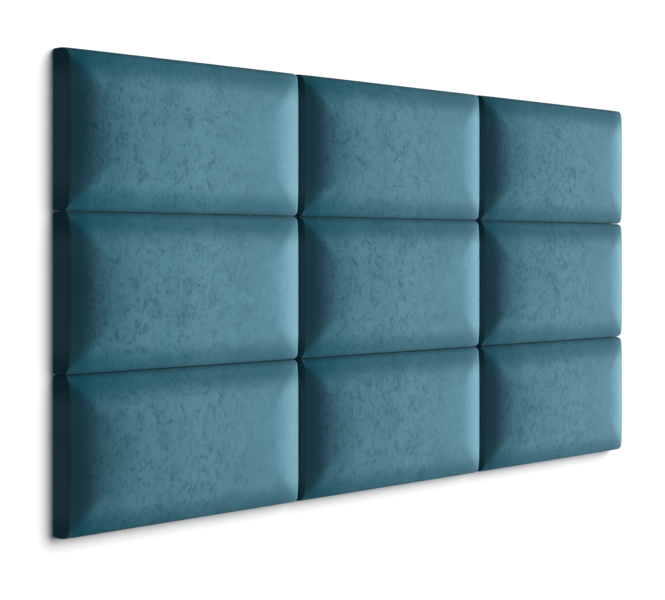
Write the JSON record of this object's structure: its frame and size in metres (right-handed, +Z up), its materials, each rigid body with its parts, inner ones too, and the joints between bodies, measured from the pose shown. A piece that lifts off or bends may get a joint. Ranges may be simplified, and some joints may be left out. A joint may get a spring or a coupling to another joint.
{
  "type": "upholstered wall panel set",
  "caption": "Grid of rectangular padded wall panels in crushed teal velvet, each with a soft crowned front and pulled-in edges, held on the wall by hook-and-loop strips.",
  "frame": {"origin": "middle of the grid, in the plane of the wall: the wall-side face of the middle strip of the middle panel", "axes": "+X to the right as seen from the room, +Y into the wall, +Z up"},
  "size_m": [1.802, 0.0546, 0.902],
  "materials": {
    "particle_board": "sanded raw particle board",
    "upholstery_foam": "open-cell foam",
    "crushed_velvet": "crushed pile with a strong grazing sheen",
    "galvanised_steel": "bright wire",
    "loop_tape": "napped loop pile",
    "hook_tape": "moulded hooks on woven tape"
  },
  "bodies": {
    "wall_strips": {"hook_strips_top_left": "hook_tape", "hook_strips_top_centre": "hook_tape", "hook_strips_top_right": "hook_tape", "hook_strips_middle_left": "hook_tape", "hook_strips_middle_centre": "hook_tape", "hook_strips_middle_right": "hook_tape", "hook_strips_bottom_left": "hook_tape", "hook_strips_bottom_centre": "hook_tape", "hook_strips_bottom_right": "hook_tape"},
    "panel_top_left": {"backing_board_top_left": "particle_board", "foam_pad_top_left": "upholstery_foam", "velvet_cover_top_left": "crushed_velvet", "staples_top_left": "galvanised_steel", "loop_strips_top_left": "loop_tape"},
    "panel_top_centre": {"backing_board_top_centre": "particle_board", "foam_pad_top_centre": "upholstery_foam", "velvet_cover_top_centre": "crushed_velvet", "staples_top_centre": "galvanised_steel", "loop_strips_top_centre": "loop_tape"},
    "panel_top_right": {"backing_board_top_right": "particle_board", "foam_pad_top_right": "upholstery_foam", "velvet_cover_top_right": "crushed_velvet", "staples_top_right": "galvanised_steel", "loop_strips_top_right": "loop_tape"},
    "panel_middle_left": {"backing_board_middle_left": "particle_board", "foam_pad_middle_left": "upholstery_foam", "velvet_cover_middle_left": "crushed_velvet", "staples_middle_left": "galvanised_steel", "loop_strips_middle_left": "loop_tape"},
    "panel_middle_centre": {"backing_board_middle_centre": "particle_board", "foam_pad_middle_centre": "upholstery_foam", "velvet_cover_middle_centre": "crushed_velvet", "staples_middle_centre": "galvanised_steel", "loop_strips_middle_centre": "loop_tape"},
    "panel_middle_right": {"backing_board_middle_right": "particle_board", "foam_pad_middle_right": "upholstery_foam", "velvet_cover_middle_right": "crushed_velvet", "staples_middle_right": "galvanised_steel", "loop_strips_middle_right": "loop_tape"},
    "panel_bottom_left": {"backing_board_bottom_left": "particle_board", "foam_pad_bottom_left": "upholstery_foam", "velvet_cover_bottom_left": "crushed_velvet", "staples_bottom_left": "galvanised_steel", "loop_strips_bottom_left": "loop_tape"},
    "panel_bottom_centre": {"backing_board_bottom_centre": "particle_board", "foam_pad_bottom_centre": "upholstery_foam", "velvet_cover_bottom_centre": "crushed_velvet", "staples_bottom_centre": "galvanised_steel", "loop_strips_bottom_centre": "loop_tape"},
    "panel_bottom_right": {"backing_board_bottom_right": "particle_board", "foam_pad_bottom_right": "upholstery_foam", "velvet_cover_bottom_right": "crushed_velvet", "staples_bottom_right": "galvanised_steel", "loop_strips_bottom_right": "loop_tape"}
  },
  "joints": [
    {"name": "pull_off_top_left", "type": "slide", "parent": "wall_strips", "child": "panel_top_left", "axis": [0, -1, 0], "range_m": [0, 0.08]},
    {"name": "pull_off_top_centre", "type": "slide", "parent": "wall_strips", "child": "panel_top_centre", "axis": [0, -1, 0], "range_m": [0, 0.08]},
    {"name": "pull_off_top_right", "type": "slide", "parent": "wall_strips", "child": "panel_top_right", "axis": [0, -1, 0], "range_m": [0, 0.08]},
    {"name": "pull_off_middle_left", "type": "slide", "parent": "wall_strips", "child": "panel_middle_left", "axis": [0, -1, 0], "range_m": [0, 0.08]},
    {"name": "pull_off_middle_centre", "type": "slide", "parent": "wall_strips", "child": "panel_middle_centre", "axis": [0, -1, 0], "range_m": [0, 0.08]},
    {"name": "pull_off_middle_right", "type": "slide", "parent": "wall_strips", "child": "panel_middle_right", "axis": [0, -1, 0], "range_m": [0, 0.08]},
    {"name": "pull_off_bottom_left", "type": "slide", "parent": "wall_strips", "child": "panel_bottom_left", "axis": [0, -1, 0], "range_m": [0, 0.08]},
    {"name": "pull_off_bottom_centre", "type": "slide", "parent": "wall_strips", "child": "panel_bottom_centre", "axis": [0, -1, 0], "range_m": [0, 0.08]},
    {"name": "pull_off_bottom_right", "type": "slide", "parent": "wall_strips", "child": "panel_bottom_right", "axis": [0, -1, 0], "range_m": [0, 0.08]}
  ]
}
